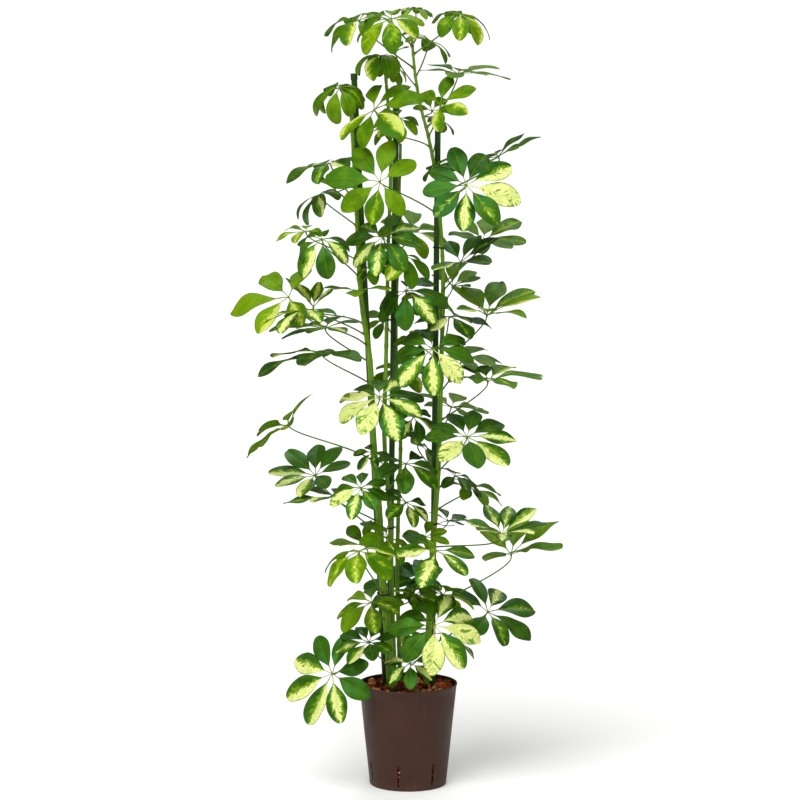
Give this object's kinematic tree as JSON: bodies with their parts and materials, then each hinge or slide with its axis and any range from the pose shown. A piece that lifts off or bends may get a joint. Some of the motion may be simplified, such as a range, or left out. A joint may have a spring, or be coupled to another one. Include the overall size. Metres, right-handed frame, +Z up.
{
  "type": "potted umbrella plant",
  "caption": "Tall variegated umbrella plant with fanned leaflets on stems tied to green stakes, growing in clay granules in a tapered brown culture pot.",
  "frame": {"origin": "centre of the pot's underside, on the surface that it stands on", "axes": "+Z up along the pot's axis; -Y is the front, the side that the picture shows; +X to the right seen from the front"},
  "size_m": [0.6158, 0.3841, 1.4509],
  "materials": {
    "pot": "matte dark brown moulded plastic with a faint sheen",
    "clay_granules": "dull, porous, red-brown to beige fired clay",
    "stake": "dark green plastic coating with small ribs and a soft gloss",
    "tie": "dark green plastic-coated wire",
    "stem": "smooth green bark, olive to light green, with leaf scars",
    "green_leaf": "glossy dark green leaf with a paler underside",
    "cream_leaf": "glossy green leaf with irregular pale yellow markings",
    "young_leaf": "soft yellow-green young leaf"
  },
  "bodies": {
    "root": {"pot": "pot", "clay_granules": "clay_granules", "left_stake": "stake", "middle_stake": "stake", "right_stake": "stake", "left_tie": "tie", "lower_middle_tie": "tie", "lower_right_tie": "tie", "upper_middle_tie": "tie", "upper_right_tie": "tie", "left_stem": "stem", "middle_stem": "stem", "right_stem": "stem", "slender_stem": "stem", "right_leaf_1": "cream_leaf", "right_leaf_2": "green_leaf", "right_leaf_3": "young_leaf", "slender_leaf_1": "young_leaf", "right_leaf_4": "green_leaf", "right_leaf_5": "young_leaf", "left_leaf_1": "cream_leaf", "left_leaf_2": "young_leaf", "left_leaf_3": "cream_leaf", "left_leaf_4": "cream_leaf", "left_leaf_5": "young_leaf", "left_leaf_6": "cream_leaf", "left_leaf_7": "cream_leaf", "slender_leaf_2": "green_leaf", "right_leaf_6": "cream_leaf", "right_leaf_7": "cream_leaf", "right_leaf_8": "young_leaf", "right_leaf_9": "young_leaf", "right_leaf_10": "young_leaf", "right_leaf_11": "young_leaf", "left_leaf_8": "cream_leaf", "right_leaf_12": "cream_leaf", "left_leaf_9": "young_leaf", "middle_leaf_1": "cream_leaf", "left_leaf_10": "cream_leaf", "left_leaf_11": "green_leaf", "slender_leaf_3": "cream_leaf", "middle_leaf_2": "green_leaf", "right_leaf_13": "young_leaf", "middle_leaf_3": "green_leaf", "slender_leaf_4": "cream_leaf", "right_leaf_14": "young_leaf", "right_leaf_15": "cream_leaf", "slender_leaf_5": "young_leaf", "right_leaf_16": "green_leaf", "left_leaf_12": "young_leaf", "left_leaf_13": "young_leaf", "right_leaf_17": "cream_leaf", "middle_leaf_4": "green_leaf", "left_leaf_14": "young_leaf", "right_leaf_18": "young_leaf", "right_leaf_19": "green_leaf", "slender_leaf_6": "cream_leaf", "right_leaf_20": "green_leaf", "left_leaf_15": "green_leaf", "left_leaf_16": "green_leaf"}
  },
  "joints": []
}
